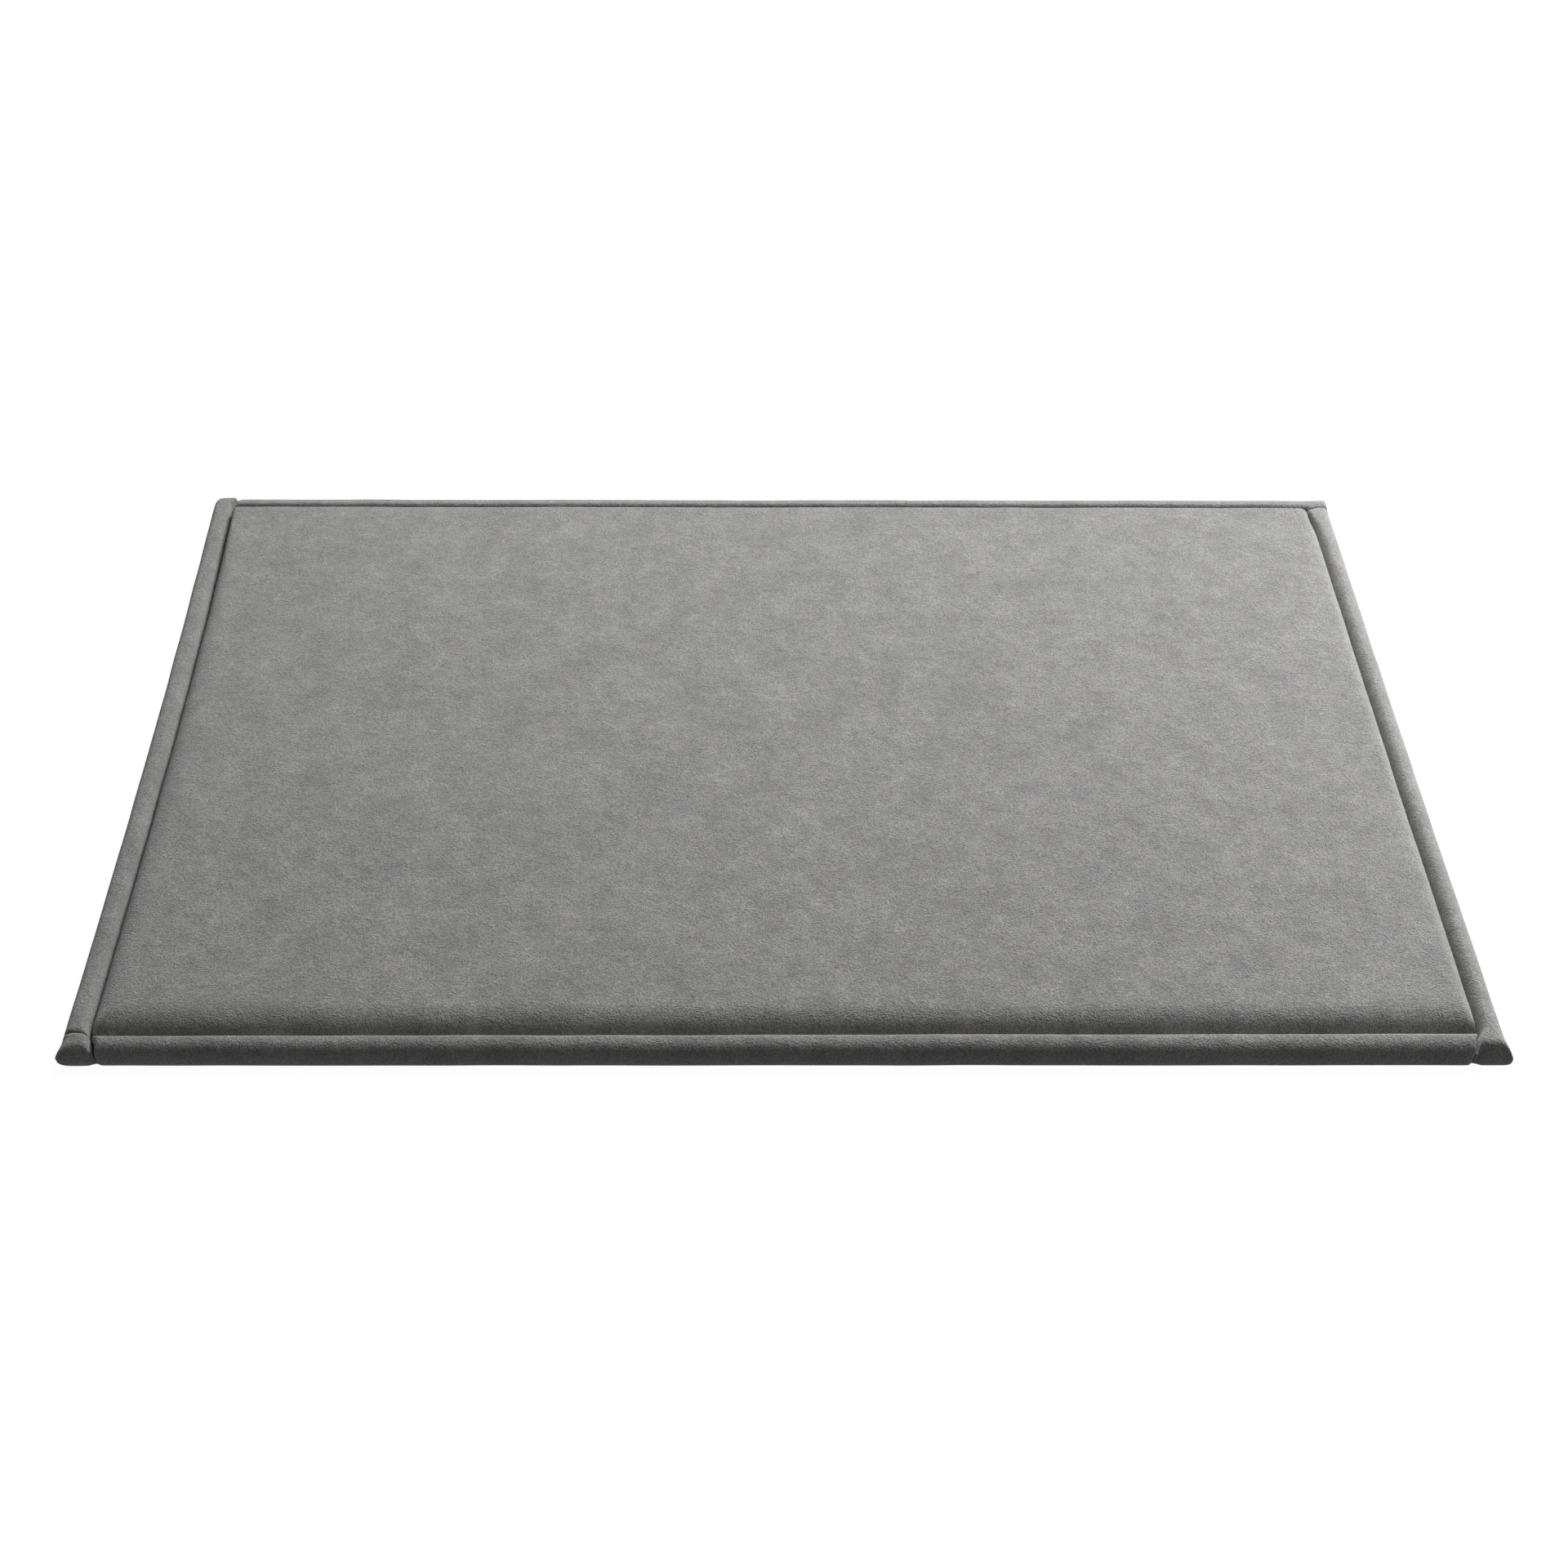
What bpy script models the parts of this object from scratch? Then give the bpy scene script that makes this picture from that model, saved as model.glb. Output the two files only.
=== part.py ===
"""Padded bath mat: a velvet cover sewn round six foam fillings, on a cloth backing with a rubber grip.

Units are metres. The mat lies on z = 0 with its centre at the origin. +X runs along its length,
-Y is its front edge and +Z is up.
"""

import math
from collections import namedtuple

import bmesh
import bpy

# Driving dimensions of the whole mat
LENGTH = 0.864
WIDTH = 0.533
PANEL_TOP = 0.0203
BORDER_TOP = 0.0172

# Distance from each outer edge to the seam beside it
LEFT_BORDER = 0.0163
RIGHT_BORDER = 0.0146
FRONT_BORDER = 0.0170
BACK_BORDER = 0.0138

# Cloth, thread and clearances
COVER_THICKNESS = 0.0009
BACKING_THICKNESS = 0.0006
GRIP_THICKNESS = 0.0012
LABEL_THICKNESS = 0.0002
THREAD_RADIUS = 0.00025
GAP = 0.0003
THREAD_SPACING = 2 * THREAD_RADIUS + GAP

# Layers, from the floor up: the cloths lie on each other with a gap between
HEM_BOTTOM = 0.0003
HEM_TOP = HEM_BOTTOM + COVER_THICKNESS
BACKING_BOTTOM = HEM_TOP + GAP
BACKING_TOP = BACKING_BOTTOM + BACKING_THICKNESS
SEAM_BOTTOM = BACKING_TOP + GAP
SEAM_TOP = SEAM_BOTTOM + COVER_THICKNESS

# Form of the padding
WIDEST_LEVEL = 0.0048
GROOVE_WIDTH = 0.0014
BORDER_REACH = 0.0060
END_RADIUS = 0.0055
CREST_RADIUS = 0.0003
CORNER_STEPS = 3
UNDER_STEPS = 3
OVER_STEPS = 6
SHARP_ANGLE = math.radians(50)

# Underside: how far inside the mat's outer edge each layer ends
NOTCH_DEPTH = 0.0028
UNDER_INSET = 0.0038
BACKING_INSET = 0.0042
HEM_WIDTH = 0.0120
HEM_CORNER_RADIUS = 0.0008
GRIP_FROM_SEAM = 0.0040
OUTLINE_RADIUS = 0.0060
LABEL_LENGTH = 0.040
LABEL_DEPTH = 0.014
LABEL_MARGIN = 0.0012
LABEL_FROM_RIGHT_SEAM = 0.060

X0, X1 = -LENGTH / 2, LENGTH / 2
Y0, Y1 = -WIDTH / 2, WIDTH / 2
LEFT_SEAM = X0 + LEFT_BORDER
RIGHT_SEAM = X1 - RIGHT_BORDER
FRONT_SEAM = Y0 + FRONT_BORDER
BACK_SEAM = Y1 - BACK_BORDER

# The border's side and the panel's side of each seam's groove
HALF_GROOVE = GROOVE_WIDTH / 2
LEFT_OUT, LEFT_IN = LEFT_SEAM - HALF_GROOVE, LEFT_SEAM + HALF_GROOVE
RIGHT_OUT, RIGHT_IN = RIGHT_SEAM + HALF_GROOVE, RIGHT_SEAM - HALF_GROOVE
FRONT_OUT, FRONT_IN = FRONT_SEAM - HALF_GROOVE, FRONT_SEAM + HALF_GROOVE
BACK_OUT, BACK_IN = BACK_SEAM + HALF_GROOVE, BACK_SEAM - HALF_GROOVE

# A pad is one stuffed channel: its plan box, its crest height, and how far in from its left, right,
# front and back sides it takes to reach that height.
Pad = namedtuple("Pad", "x0 x1 y0 y1 top reach")
EVEN_REACH = (BORDER_REACH,) * 4
PANEL_REACH = (0.007, 0.008, 0.013, 0.006)

# The left seam runs from the front edge to the back and the back seam reaches the right edge. The
# front seam crosses the left one, so the front left corner is a pad of its own.
PADS = {
    "centre": Pad(LEFT_IN, RIGHT_IN, FRONT_IN, BACK_IN, PANEL_TOP, PANEL_REACH),
    "front_border": Pad(LEFT_IN, RIGHT_IN, Y0, FRONT_OUT, BORDER_TOP, EVEN_REACH),
    "back_border": Pad(LEFT_IN, X1, BACK_OUT, Y1, BORDER_TOP, EVEN_REACH),
    "left_border": Pad(X0, LEFT_OUT, FRONT_IN, Y1, BORDER_TOP, EVEN_REACH),
    "right_border": Pad(RIGHT_OUT, X1, Y0, BACK_IN, BORDER_TOP, EVEN_REACH),
    "front_left_corner": Pad(X0, LEFT_OUT, Y0, FRONT_OUT, BORDER_TOP, EVEN_REACH),
}


def clear_scene():
    for obj in list(bpy.data.objects):
        bpy.data.objects.remove(obj)


def make_material(name, color, roughness, sheen=0.0):
    material = bpy.data.materials.new(name)
    material.use_nodes = True
    shader = material.node_tree.nodes["Principled BSDF"]
    shader.inputs["Base Color"].default_value = (*color, 1.0)
    shader.inputs["Roughness"].default_value = roughness
    shader.inputs["Metallic"].default_value = 0.0
    shader.inputs["Sheen Weight"].default_value = sheen
    return material


def link_object(name, data):
    obj = bpy.data.objects.new(name, data)
    bpy.context.scene.collection.objects.link(obj)
    return obj


def rounded_rectangle(x0, x1, y0, y1, radius, z):
    """Points round a rectangle with round corners at height z, anticlockwise seen from above."""
    corners = (
        (x1 - radius, y1 - radius, 0.0),
        (x0 + radius, y1 - radius, 0.5 * math.pi),
        (x0 + radius, y0 + radius, math.pi),
        (x1 - radius, y0 + radius, 1.5 * math.pi),
    )
    points = []
    for centre_x, centre_y, start in corners:
        for step in range(CORNER_STEPS + 1):
            angle = start + 0.5 * math.pi * step / CORNER_STEPS
            points.append((centre_x + radius * math.cos(angle), centre_y + radius * math.sin(angle), z))
    return points


def loft(name, rings):
    """A closed mesh through rings of points listed from the bottom up."""
    bm = bmesh.new()
    loops = [[bm.verts.new(point) for point in ring] for ring in rings]
    bm.faces.new(reversed(loops[0]))
    bm.faces.new(loops[-1])
    for lower, upper in zip(loops, loops[1:]):
        for i in range(len(lower)):
            bm.faces.new((lower[i - 1], lower[i], upper[i], upper[i - 1]))
    mesh = bpy.data.meshes.new(name)
    bm.to_mesh(mesh)
    bm.free()
    return link_object(name, mesh)


def mat_outline(inset, z, radius=OUTLINE_RADIUS):
    """The mat's outline at an equal distance inside its edge."""
    return rounded_rectangle(X0 + inset, X1 - inset, Y0 + inset, Y1 - inset, radius, z)


def plate(name, inset, bottom, top, radius=OUTLINE_RADIUS):
    """A flat sheet with the mat's outline."""
    return loft(name, [mat_outline(inset, z, radius) for z in (bottom, top)])


def box(name, x0, x1, y0, y1, bottom, top, radius=CREST_RADIUS):
    """A flat sheet with an outline of its own."""
    return loft(name, [rounded_rectangle(x0, x1, y0, y1, radius, z) for z in (bottom, top)])


def pad_ring(pad, reach, offset, closed, z):
    """A pad's outline at height z, where it has closed in by a share of each side's reach."""
    left, right, front, back = (offset + closed * (side - offset) for side in reach)
    radius = CREST_RADIUS + (END_RADIUS - offset - CREST_RADIUS) * (1 - closed)
    return rounded_rectangle(pad.x0 + left, pad.x1 - right, pad.y0 + front, pad.y1 - back, radius, z)


def pad_solid(name, pad, offset, bottom):
    """A pad drawn in by an offset: round below its widest level, and crowned above it."""
    rings = []
    drop = WIDEST_LEVEL - bottom
    under_share = drop / (BORDER_REACH - offset)
    for step in range(UNDER_STEPS):
        angle = 0.5 * math.pi * step / UNDER_STEPS
        closed = under_share * (1 - math.sin(angle))
        rings.append(pad_ring(pad, EVEN_REACH, offset, closed, WIDEST_LEVEL - drop * math.cos(angle)))
    rise = pad.top - offset - WIDEST_LEVEL
    for step in range(OVER_STEPS + 1):
        angle = 0.5 * math.pi * step / OVER_STEPS
        closed = 1 - math.cos(angle)
        rings.append(pad_ring(pad, pad.reach, offset, closed, WIDEST_LEVEL + rise * math.sin(angle)))
    return loft(name, rings)


def boolean(target, operation, tools):
    """Joins tools to the target or cuts them from it, and removes them.

    The pads' round ends graze the plates that they meet, where the exact solver leaves open edges, so
    these cuts use the manifold solver.
    """
    for tool in tools:
        modifier = target.modifiers.new(operation.lower(), "BOOLEAN")
        modifier.operation = operation
        modifier.solver = "MANIFOLD"
        modifier.object = tool
    graph = bpy.context.evaluated_depsgraph_get()
    mesh = bpy.data.meshes.new_from_object(target.evaluated_get(graph), depsgraph=graph)
    target.modifiers.clear()
    target.data = mesh
    for tool in tools:
        bpy.data.objects.remove(tool)


def finish_piece(obj, material):
    obj.data.materials.clear()
    obj.data.materials.append(material)
    if obj.type == "MESH":
        obj.data.shade_smooth()
        obj.data.set_sharp_from_angle(angle=SHARP_ANGLE)


def velvet_cover(material):
    """One cloth over all the pads: it goes down into each seam, and under the mat's edge to a hem."""
    hem_middle = 0.5 * (HEM_BOTTOM + HEM_TOP)
    levels = ((UNDER_INSET, HEM_BOTTOM), (NOTCH_DEPTH, hem_middle), (NOTCH_DEPTH, SEAM_TOP))
    cover = loft("velvet_cover", [mat_outline(inset, z) for inset, z in levels])
    shells = [pad_solid(f"shell_{name}", pad, 0.0, hem_middle) for name, pad in PADS.items()]
    boolean(cover, "UNION", shells)

    hollow_bottom = 0.5 * (HEM_TOP + SEAM_BOTTOM)
    hollows = [
        pad_solid(f"hollow_{name}", pad, COVER_THICKNESS, hollow_bottom) for name, pad in PADS.items()
    ]
    hollows.append(plate("backing_space", NOTCH_DEPTH + COVER_THICKNESS, HEM_TOP, SEAM_BOTTOM))
    hollows.append(plate("hem_opening", HEM_WIDTH, -GAP, HEM_TOP + GAP, HEM_CORNER_RADIUS))
    boolean(cover, "DIFFERENCE", hollows)
    finish_piece(cover, material)


def foam(name, pad, material):
    """The filling of one channel."""
    finish_piece(pad_solid(f"{name}_foam", pad, COVER_THICKNESS + GAP, SEAM_BOTTOM), material)


def backing_cloth(material):
    finish_piece(plate("backing_cloth", BACKING_INSET, BACKING_BOTTOM, BACKING_TOP), material)


def label_place(margin=0.0):
    """The care label's x range and y range on the underside, beside the back seam."""
    x1 = RIGHT_SEAM - LABEL_FROM_RIGHT_SEAM
    y1 = BACK_SEAM - GRIP_FROM_SEAM
    return x1 - LABEL_LENGTH - margin, x1 + margin, y1 - LABEL_DEPTH - margin, y1 + margin


def grip_layer(material):
    """The rubber sheet that the mat stands on, with an open notch for the care label."""
    sheet = box(
        "grip_layer",
        LEFT_SEAM + GRIP_FROM_SEAM,
        RIGHT_SEAM - GRIP_FROM_SEAM,
        FRONT_SEAM + GRIP_FROM_SEAM,
        BACK_SEAM - GRIP_FROM_SEAM,
        0.0,
        GRIP_THICKNESS,
        OUTLINE_RADIUS,
    )
    notch = box("label_notch", *label_place(LABEL_MARGIN), -GAP, GRIP_THICKNESS + GAP)
    boolean(sheet, "DIFFERENCE", [notch])
    finish_piece(sheet, material)


def care_label(material):
    """A blank woven label, lying flat under the backing."""
    top = BACKING_BOTTOM - GAP
    finish_piece(box("care_label", *label_place(), top - LABEL_THICKNESS, top), material)


def thread(name, points, material, cyclic=False):
    """A round thread through a list of points."""
    curve = bpy.data.curves.new(name, "CURVE")
    curve.dimensions = "3D"
    curve.bevel_depth = THREAD_RADIUS
    curve.bevel_resolution = 2
    curve.use_fill_caps = True
    spline = curve.splines.new("POLY")
    spline.points.add(len(points) - 1)
    for spline_point, point in zip(spline.points, points):
        spline_point.co = (*point, 1.0)
    spline.use_cyclic_u = cyclic
    finish_piece(link_object(name, curve), material)


def needle_threads(material):
    """The upper thread of each seam, on the cloth at the bottom of its groove."""
    low = SEAM_TOP + GAP + THREAD_RADIUS
    high = low + THREAD_SPACING
    end = NOTCH_DEPTH + GAP
    ramp = 4 * THREAD_SPACING
    over_left_seam = [
        (LEFT_SEAM - ramp, FRONT_SEAM, low),
        (LEFT_SEAM - THREAD_SPACING, FRONT_SEAM, high),
        (LEFT_SEAM + THREAD_SPACING, FRONT_SEAM, high),
        (LEFT_SEAM + ramp, FRONT_SEAM, low),
    ]
    routes = {
        "left": [(LEFT_SEAM, Y0 + end, low), (LEFT_SEAM, Y1 - end, low)],
        "front": [
            (X0 + end, FRONT_SEAM, low),
            *over_left_seam,
            (RIGHT_SEAM - THREAD_SPACING, FRONT_SEAM, low),
        ],
        "back": [(LEFT_SEAM + THREAD_SPACING, BACK_SEAM, low), (X1 - end, BACK_SEAM, low)],
        "right": [(RIGHT_SEAM, Y0 + end, low), (RIGHT_SEAM, BACK_SEAM - THREAD_SPACING, low)],
    }
    for side, points in routes.items():
        thread(f"{side}_seam_needle_thread", points, material)


def bobbin_threads(material):
    """The lower thread of each seam, under the backing between the hem and the grip layer."""
    z = BACKING_BOTTOM - GAP - THREAD_RADIUS
    for side, x in (("left", LEFT_SEAM), ("right", RIGHT_SEAM)):
        thread(f"{side}_seam_bobbin_thread", [(x, FRONT_SEAM, z), (x, BACK_SEAM, z)], material)
    x0, x1 = LEFT_SEAM + THREAD_SPACING, RIGHT_SEAM - THREAD_SPACING
    for side, y in (("front", FRONT_SEAM), ("back", BACK_SEAM)):
        thread(f"{side}_seam_bobbin_thread", [(x0, y, z), (x1, y, z)], material)


def hem_thread(material):
    """The overlock thread that binds the hem's raw edge to the backing, all round the underside."""
    inset = HEM_WIDTH + GAP + THREAD_RADIUS
    route = mat_outline(inset, BACKING_BOTTOM - GAP - THREAD_RADIUS, HEM_CORNER_RADIUS)
    thread("hem_thread", route, material, cyclic=True)


def build_mat():
    clear_scene()
    velvet = make_material("velvet", (0.20, 0.20, 0.195), 0.9, sheen=0.3)
    foam_white = make_material("memory_foam", (0.82, 0.80, 0.72), 0.95)
    backing = make_material("backing", (0.16, 0.16, 0.165), 0.9)
    rubber = make_material("grip_rubber", (0.11, 0.11, 0.115), 0.6)
    polyester = make_material("thread", (0.10, 0.10, 0.10), 0.6)
    satin = make_material("label", (0.85, 0.85, 0.84), 0.5)
    velvet_cover(velvet)
    for name, pad in PADS.items():
        foam(name, pad, foam_white)
    backing_cloth(backing)
    grip_layer(rubber)
    care_label(satin)
    needle_threads(polyester)
    bobbin_threads(polyester)
    hem_thread(polyester)


build_mat()
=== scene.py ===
import math
from collections import namedtuple

import bmesh
import bpy
import numpy as np
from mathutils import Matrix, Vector


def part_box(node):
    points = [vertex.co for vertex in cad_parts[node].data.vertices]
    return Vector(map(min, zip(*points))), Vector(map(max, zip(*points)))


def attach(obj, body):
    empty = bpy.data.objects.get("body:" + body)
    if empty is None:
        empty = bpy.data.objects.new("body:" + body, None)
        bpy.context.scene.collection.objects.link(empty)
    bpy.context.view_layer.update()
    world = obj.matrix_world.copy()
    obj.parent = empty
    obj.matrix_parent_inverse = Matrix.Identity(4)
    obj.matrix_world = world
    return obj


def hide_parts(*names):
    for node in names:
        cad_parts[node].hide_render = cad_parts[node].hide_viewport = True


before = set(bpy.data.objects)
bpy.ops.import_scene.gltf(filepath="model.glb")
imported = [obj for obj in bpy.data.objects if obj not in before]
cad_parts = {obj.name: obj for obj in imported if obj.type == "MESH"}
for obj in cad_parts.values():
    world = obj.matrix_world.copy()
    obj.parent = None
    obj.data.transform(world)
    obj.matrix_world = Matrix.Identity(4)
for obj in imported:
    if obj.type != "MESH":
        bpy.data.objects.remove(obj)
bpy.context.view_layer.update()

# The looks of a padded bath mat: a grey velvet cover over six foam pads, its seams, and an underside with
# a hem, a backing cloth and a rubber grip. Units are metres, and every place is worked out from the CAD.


def middle(node, axis):
    low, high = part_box(node)
    return 0.5 * (low[axis] + high[axis])


# Places of the CAD pieces
(X0, Y0, HEM_BOTTOM), (X1, Y1, PANEL_TOP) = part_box("velvet_cover")
LEFT_SEAM = middle("left_seam_needle_thread", 0)
RIGHT_SEAM = middle("right_seam_needle_thread", 0)
FRONT_SEAM = middle("front_seam_needle_thread", 1)
BACK_SEAM = middle("back_seam_needle_thread", 1)
FOAM_BOTTOM, FOAM_BORDER_TOP = (corner[2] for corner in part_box("left_border_foam"))

# Cloth and clearances
COVER_THICKNESS = 0.0009
CLEARANCE = 0.0003
FOAM_OFFSET = COVER_THICKNESS + CLEARANCE
BORDER_TOP = FOAM_BORDER_TOP + FOAM_OFFSET
FLOOR_LEVEL = FOAM_BOTTOM + COVER_THICKNESS

# Form of the cloth. The mat's edge stands out furthest at the edge level. A front or back seam only creases
# the side rolls that it crosses, the left seam's bottom is lifted at the back edge, and where a seam meets
# the mat's edge its stitches make a notch.
EDGE_LEVEL = 0.0042
HALF_GROOVE = 0.00025
CREASE_SHARE = 0.84
CREASE_POWER = 2.6
CLOSED_LIFT = 0.0100
CLOSED_WIDTH = 0.0040
NOTCH_AT_SEAM = 0.0010
NOTCH_DEPTH = 0.0022
NOTCH_WIDTH = 0.0017
NOTCH_LIFT = 0.0020
UNDER_RADIUS = 0.0034
HEM_WIDTH = 0.0120
FOAM_UNDER_SHARE = 0.45

# How the mat has settled sideways. A FADE is the distance over which a movement dies away from its place.
BOW_FADE = 0.15
LEFT_BOW, RIGHT_BOW = 0.0028, 0.0010
LEFT_SPREAD, RIGHT_SPREAD = 0.0068, 0.0060
LEFT_BACK_SPREAD, RIGHT_BACK_SPREAD = 0.0032, 0.0038
ROLL_END, LEFT_ROLL_END, SHORT_ROLL_END, LONG_ROLL_END = 0.021, 0.026, 0.013, 0.035
ROLL_END_FADE = 0.060
LEFT_FLARE, RIGHT_FLARE = 0.0028, 0.0024
FLARE_LEVEL = 0.0070
FLARE_FADE_X, FLARE_FADE_Y, FLARE_FADE_Z = 0.007, 0.008, 0.0055
LEFT_SLIP, LEFT_SLIP_FADE = 0.0015, 0.010
LEFT_LEAN, RIGHT_LEAN = 0.0014, 0.0018
LEAN_PLACE = FRONT_SEAM - 0.005
LEAN_FADE_X, LEAN_FADE_Y = 0.007, 0.005
PRESS_WIDTH, PRESS_LENGTH = 0.007, 0.011
PRESSED = ((LEFT_SEAM, Y1, 0.35), (RIGHT_SEAM, BACK_SEAM - 0.005, 0.65))

# How it has settled lengthways
SEAM_SKEW, SKEW_FADE = 0.0009, 0.012
FRONT_SLIP, BACK_SLIP, SLIP_FADE = 0.0015, 0.0008, 0.009
BACK_RISE, RISE_LENGTH, RISE_FADE = 0.0022, 0.010, 0.007
BACK_DIP, DIP_FADE_X, DIP_FADE_Y = 0.0006, 0.008, 0.005
FRONT_BULGE, FRONT_BULGE_PLACE = 0.0003, X0 + 0.006
BACK_DENT, BACK_DENT_PLACE = 0.0005, X0 + 0.008
BULGE_FADE_X, BULGE_FADE_Y = 0.009, 0.010

# How uneven it is: edges and seams waver by a distance, and pads swell and pucker by a share of their height
SIDE_WAVER, END_WAVER, WAVER_LENGTHS = 0.00018, 0.00015, (0.035, 0.14)
SWELL, SWELL_LENGTHS = 0.010, (0.05, 0.18)
PUCKER, PUCKER_LENGTHS = 0.006, (0.018, 0.05)

# Threads
NEEDLE_RADIUS = 0.00020
BOBBIN_RADIUS = 0.00020
HEM_THREAD_RADIUS = 0.00012
THREAD_SIDES = 6
STITCH = 0.0036
STITCH_POINTS = 4
STITCH_DIP = 0.0004
STITCH_SHARPNESS = 4
CROSSING_REACH = 0.0015
HEM_STITCH = 0.0030

# Stages of the overlock thread across the hem's raw edge: distance inward from it, and share of the way from
# the hem up to the backing
HEM_STAGES = ((-0.0012, 0.0), (-0.0003, 0.0), (0.0004, 0.5), (0.0010, 1.0))

# Grip. A cell of film has a ring of points round its dot, clockwise seen from above, and each loop of the dot
# has as many, at a share of the dot's radius and of its height.
GRIP_PITCH = 0.0120
GRIP_RING = ((1, 0), (1, -1), (0, -1), (-1, -1), (-1, 0), (-1, 1), (0, 1), (1, 1))
GRIP_DOT_RADIUS = 0.0020
GRIP_DOT_LOOPS = ((1.0, 0.0), (0.78, 0.6), (0.42, 1.0))
GRIP_FILM_LEVEL = 0.0006
GRIP_MARGIN = 0.0012

# Care label
LABEL_DROOP = 0.0005
LABEL_WAVE, LABEL_WAVE_LENGTH = 0.00008, 0.005

# Fineness of the meshes
PANEL_STEP = 0.0055
FOAM_STEP = 0.006
CLOTH_STEP = 0.012
LABEL_STEP = 0.001
TURN_STEPS = 9
UNDER_STEPS = 6
HEM_STEPS = 4

# Tolerances: against dividing by nothing, for points on a pad's outline, and for points that are the same
TINY, SLACK = 1e-9, 1e-7
MICRONS = 1e6

# The border's side and the panel's side of each seam's groove
LEFT_OUT, LEFT_IN = LEFT_SEAM - HALF_GROOVE, LEFT_SEAM + HALF_GROOVE
RIGHT_OUT, RIGHT_IN = RIGHT_SEAM + HALF_GROOVE, RIGHT_SEAM - HALF_GROOVE
FRONT_OUT, FRONT_IN = FRONT_SEAM - HALF_GROOVE, FRONT_SEAM + HALF_GROOVE
BACK_OUT, BACK_IN = BACK_SEAM + HALF_GROOVE, BACK_SEAM - HALF_GROOVE

# How far the sides of the rolls and of the panel reach in, and the shapes of their curves
OUTER_SHARE, INNER_SHARE = 0.66, 0.30
RIGHT_INNER_SHARE, RIGHT_OUTER_SHARE = 0.29, 0.64
LEFT_REACH = (OUTER_SHARE * (LEFT_OUT - X0), INNER_SHARE * (LEFT_OUT - X0))
RIGHT_REACH = (RIGHT_INNER_SHARE * (X1 - RIGHT_OUT), RIGHT_OUTER_SHARE * (X1 - RIGHT_OUT))
FRONT_REACH = (OUTER_SHARE * (FRONT_OUT - Y0), INNER_SHARE * (FRONT_OUT - Y0))
BACK_REACH = (INNER_SHARE * (Y1 - BACK_OUT), OUTER_SHARE * (Y1 - BACK_OUT))
PANEL_REACH = (0.0180, 0.0110, 0.0175, 0.0060)
FULL, BLUNT, SOFT, SLOPED = 2.2, 3.0, 1.9, 1.45
TIGHT = 12.0
SIDE_BLEND = 4

# A pad is one stuffed channel: its plan box and crest height, the reach over which its left, right, front
# and back sides rise, which of those sides are the mat's own edge, and how full each side's curve is (the
# crowns). The bends say how square its front left, front right, back right and back left corners are in
# plan. Over the end length the side reaches shrink to the given shares at those same four corners, where
# the sides stand up more.
Pad = namedtuple(
    "Pad",
    "x0 x1 y0 y1 top reach edges bends crowns shares end_length",
    defaults=((FULL, FULL, FULL, FULL), (1.0, 1.0, 1.0, 1.0), 0.012),
)

PADS = {
    "centre": Pad(
        LEFT_IN, RIGHT_IN, FRONT_IN, BACK_IN, PANEL_TOP,
        reach=PANEL_REACH,
        edges=(0, 0, 0, 0),
        bends=(7.0, 6.0, 3.4, 14.0),
        crowns=(SOFT, FULL, FULL, FULL),
        shares=(1.0, 1.0, 1.0, 0.35),
        end_length=0.110,
    ),
    "front_border": Pad(
        LEFT_IN, RIGHT_IN, Y0, FRONT_OUT, BORDER_TOP,
        reach=(0.0030, 0.0022, *FRONT_REACH),
        edges=(0, 0, 1, 0),
        bends=(TIGHT, 5.0, TIGHT, TIGHT),
    ),
    "back_border": Pad(
        LEFT_IN, X1, BACK_OUT, Y1, BORDER_TOP,
        reach=(0.0070, RIGHT_REACH[1], *BACK_REACH),
        edges=(0, 1, 0, 1),
        bends=(TIGHT, TIGHT, 10.0, 6.0),
        shares=(1.0, 0.7, 0.7, 1.0),
    ),
    "left_border": Pad(
        X0, LEFT_OUT, FRONT_IN, Y1, BORDER_TOP,
        reach=(*LEFT_REACH, 0.0045, 0.0060),
        edges=(1, 0, 0, 1),
        bends=(TIGHT, TIGHT, 5.0, 4.0),
        crowns=(FULL, FULL, FULL, BLUNT),
        shares=(1.0, 1.0, 0.5, 1.0),
        end_length=0.022,
    ),
    "right_border": Pad(
        RIGHT_OUT, X1, Y0, BACK_IN, BORDER_TOP,
        reach=(*RIGHT_REACH, 0.0080, 0.0032),
        edges=(0, 1, 1, 0),
        bends=(TIGHT, 9.0, TIGHT, TIGHT),
        crowns=(FULL, FULL, SLOPED, FULL),
        shares=(0.22, 0.38, 0.8, 0.15),
    ),
    "front_left_corner": Pad(
        X0, LEFT_OUT, Y0, FRONT_OUT, BORDER_TOP,
        reach=(*LEFT_REACH, 0.0090, 0.0045),
        edges=(1, 0, 1, 0),
        bends=(5.0, TIGHT, TIGHT, TIGHT),
        shares=(0.8, 0.8, 1.0, 1.0),
    ),
}


# ---------------------------------------------------------------- how the mat has settled


def ripple(x, y, shortest, longest, seed, count=14):
    """A smooth uneven field of about -1 to 1: waves of mixed lengths and directions."""
    random = np.random.default_rng(seed)
    total = np.zeros_like(x)
    for _ in range(count):
        length = random.uniform(shortest, longest)
        angle = random.uniform(0, 2 * math.pi)
        phase = random.uniform(0, 2 * math.pi)
        total += np.sin(2 * math.pi * (x * math.cos(angle) + y * math.sin(angle)) / length + phase)
    return total / math.sqrt(2 * count)


def near(distance, width):
    """1 at no distance, fading out smoothly over the width."""
    return np.exp(-((distance / width) ** 2))


def smooth(value):
    """A smooth step from 0 to 1 as the value goes from 0 to 1."""
    value = np.clip(value, 0, 1)
    return value * value * (3 - 2 * value)


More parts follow.
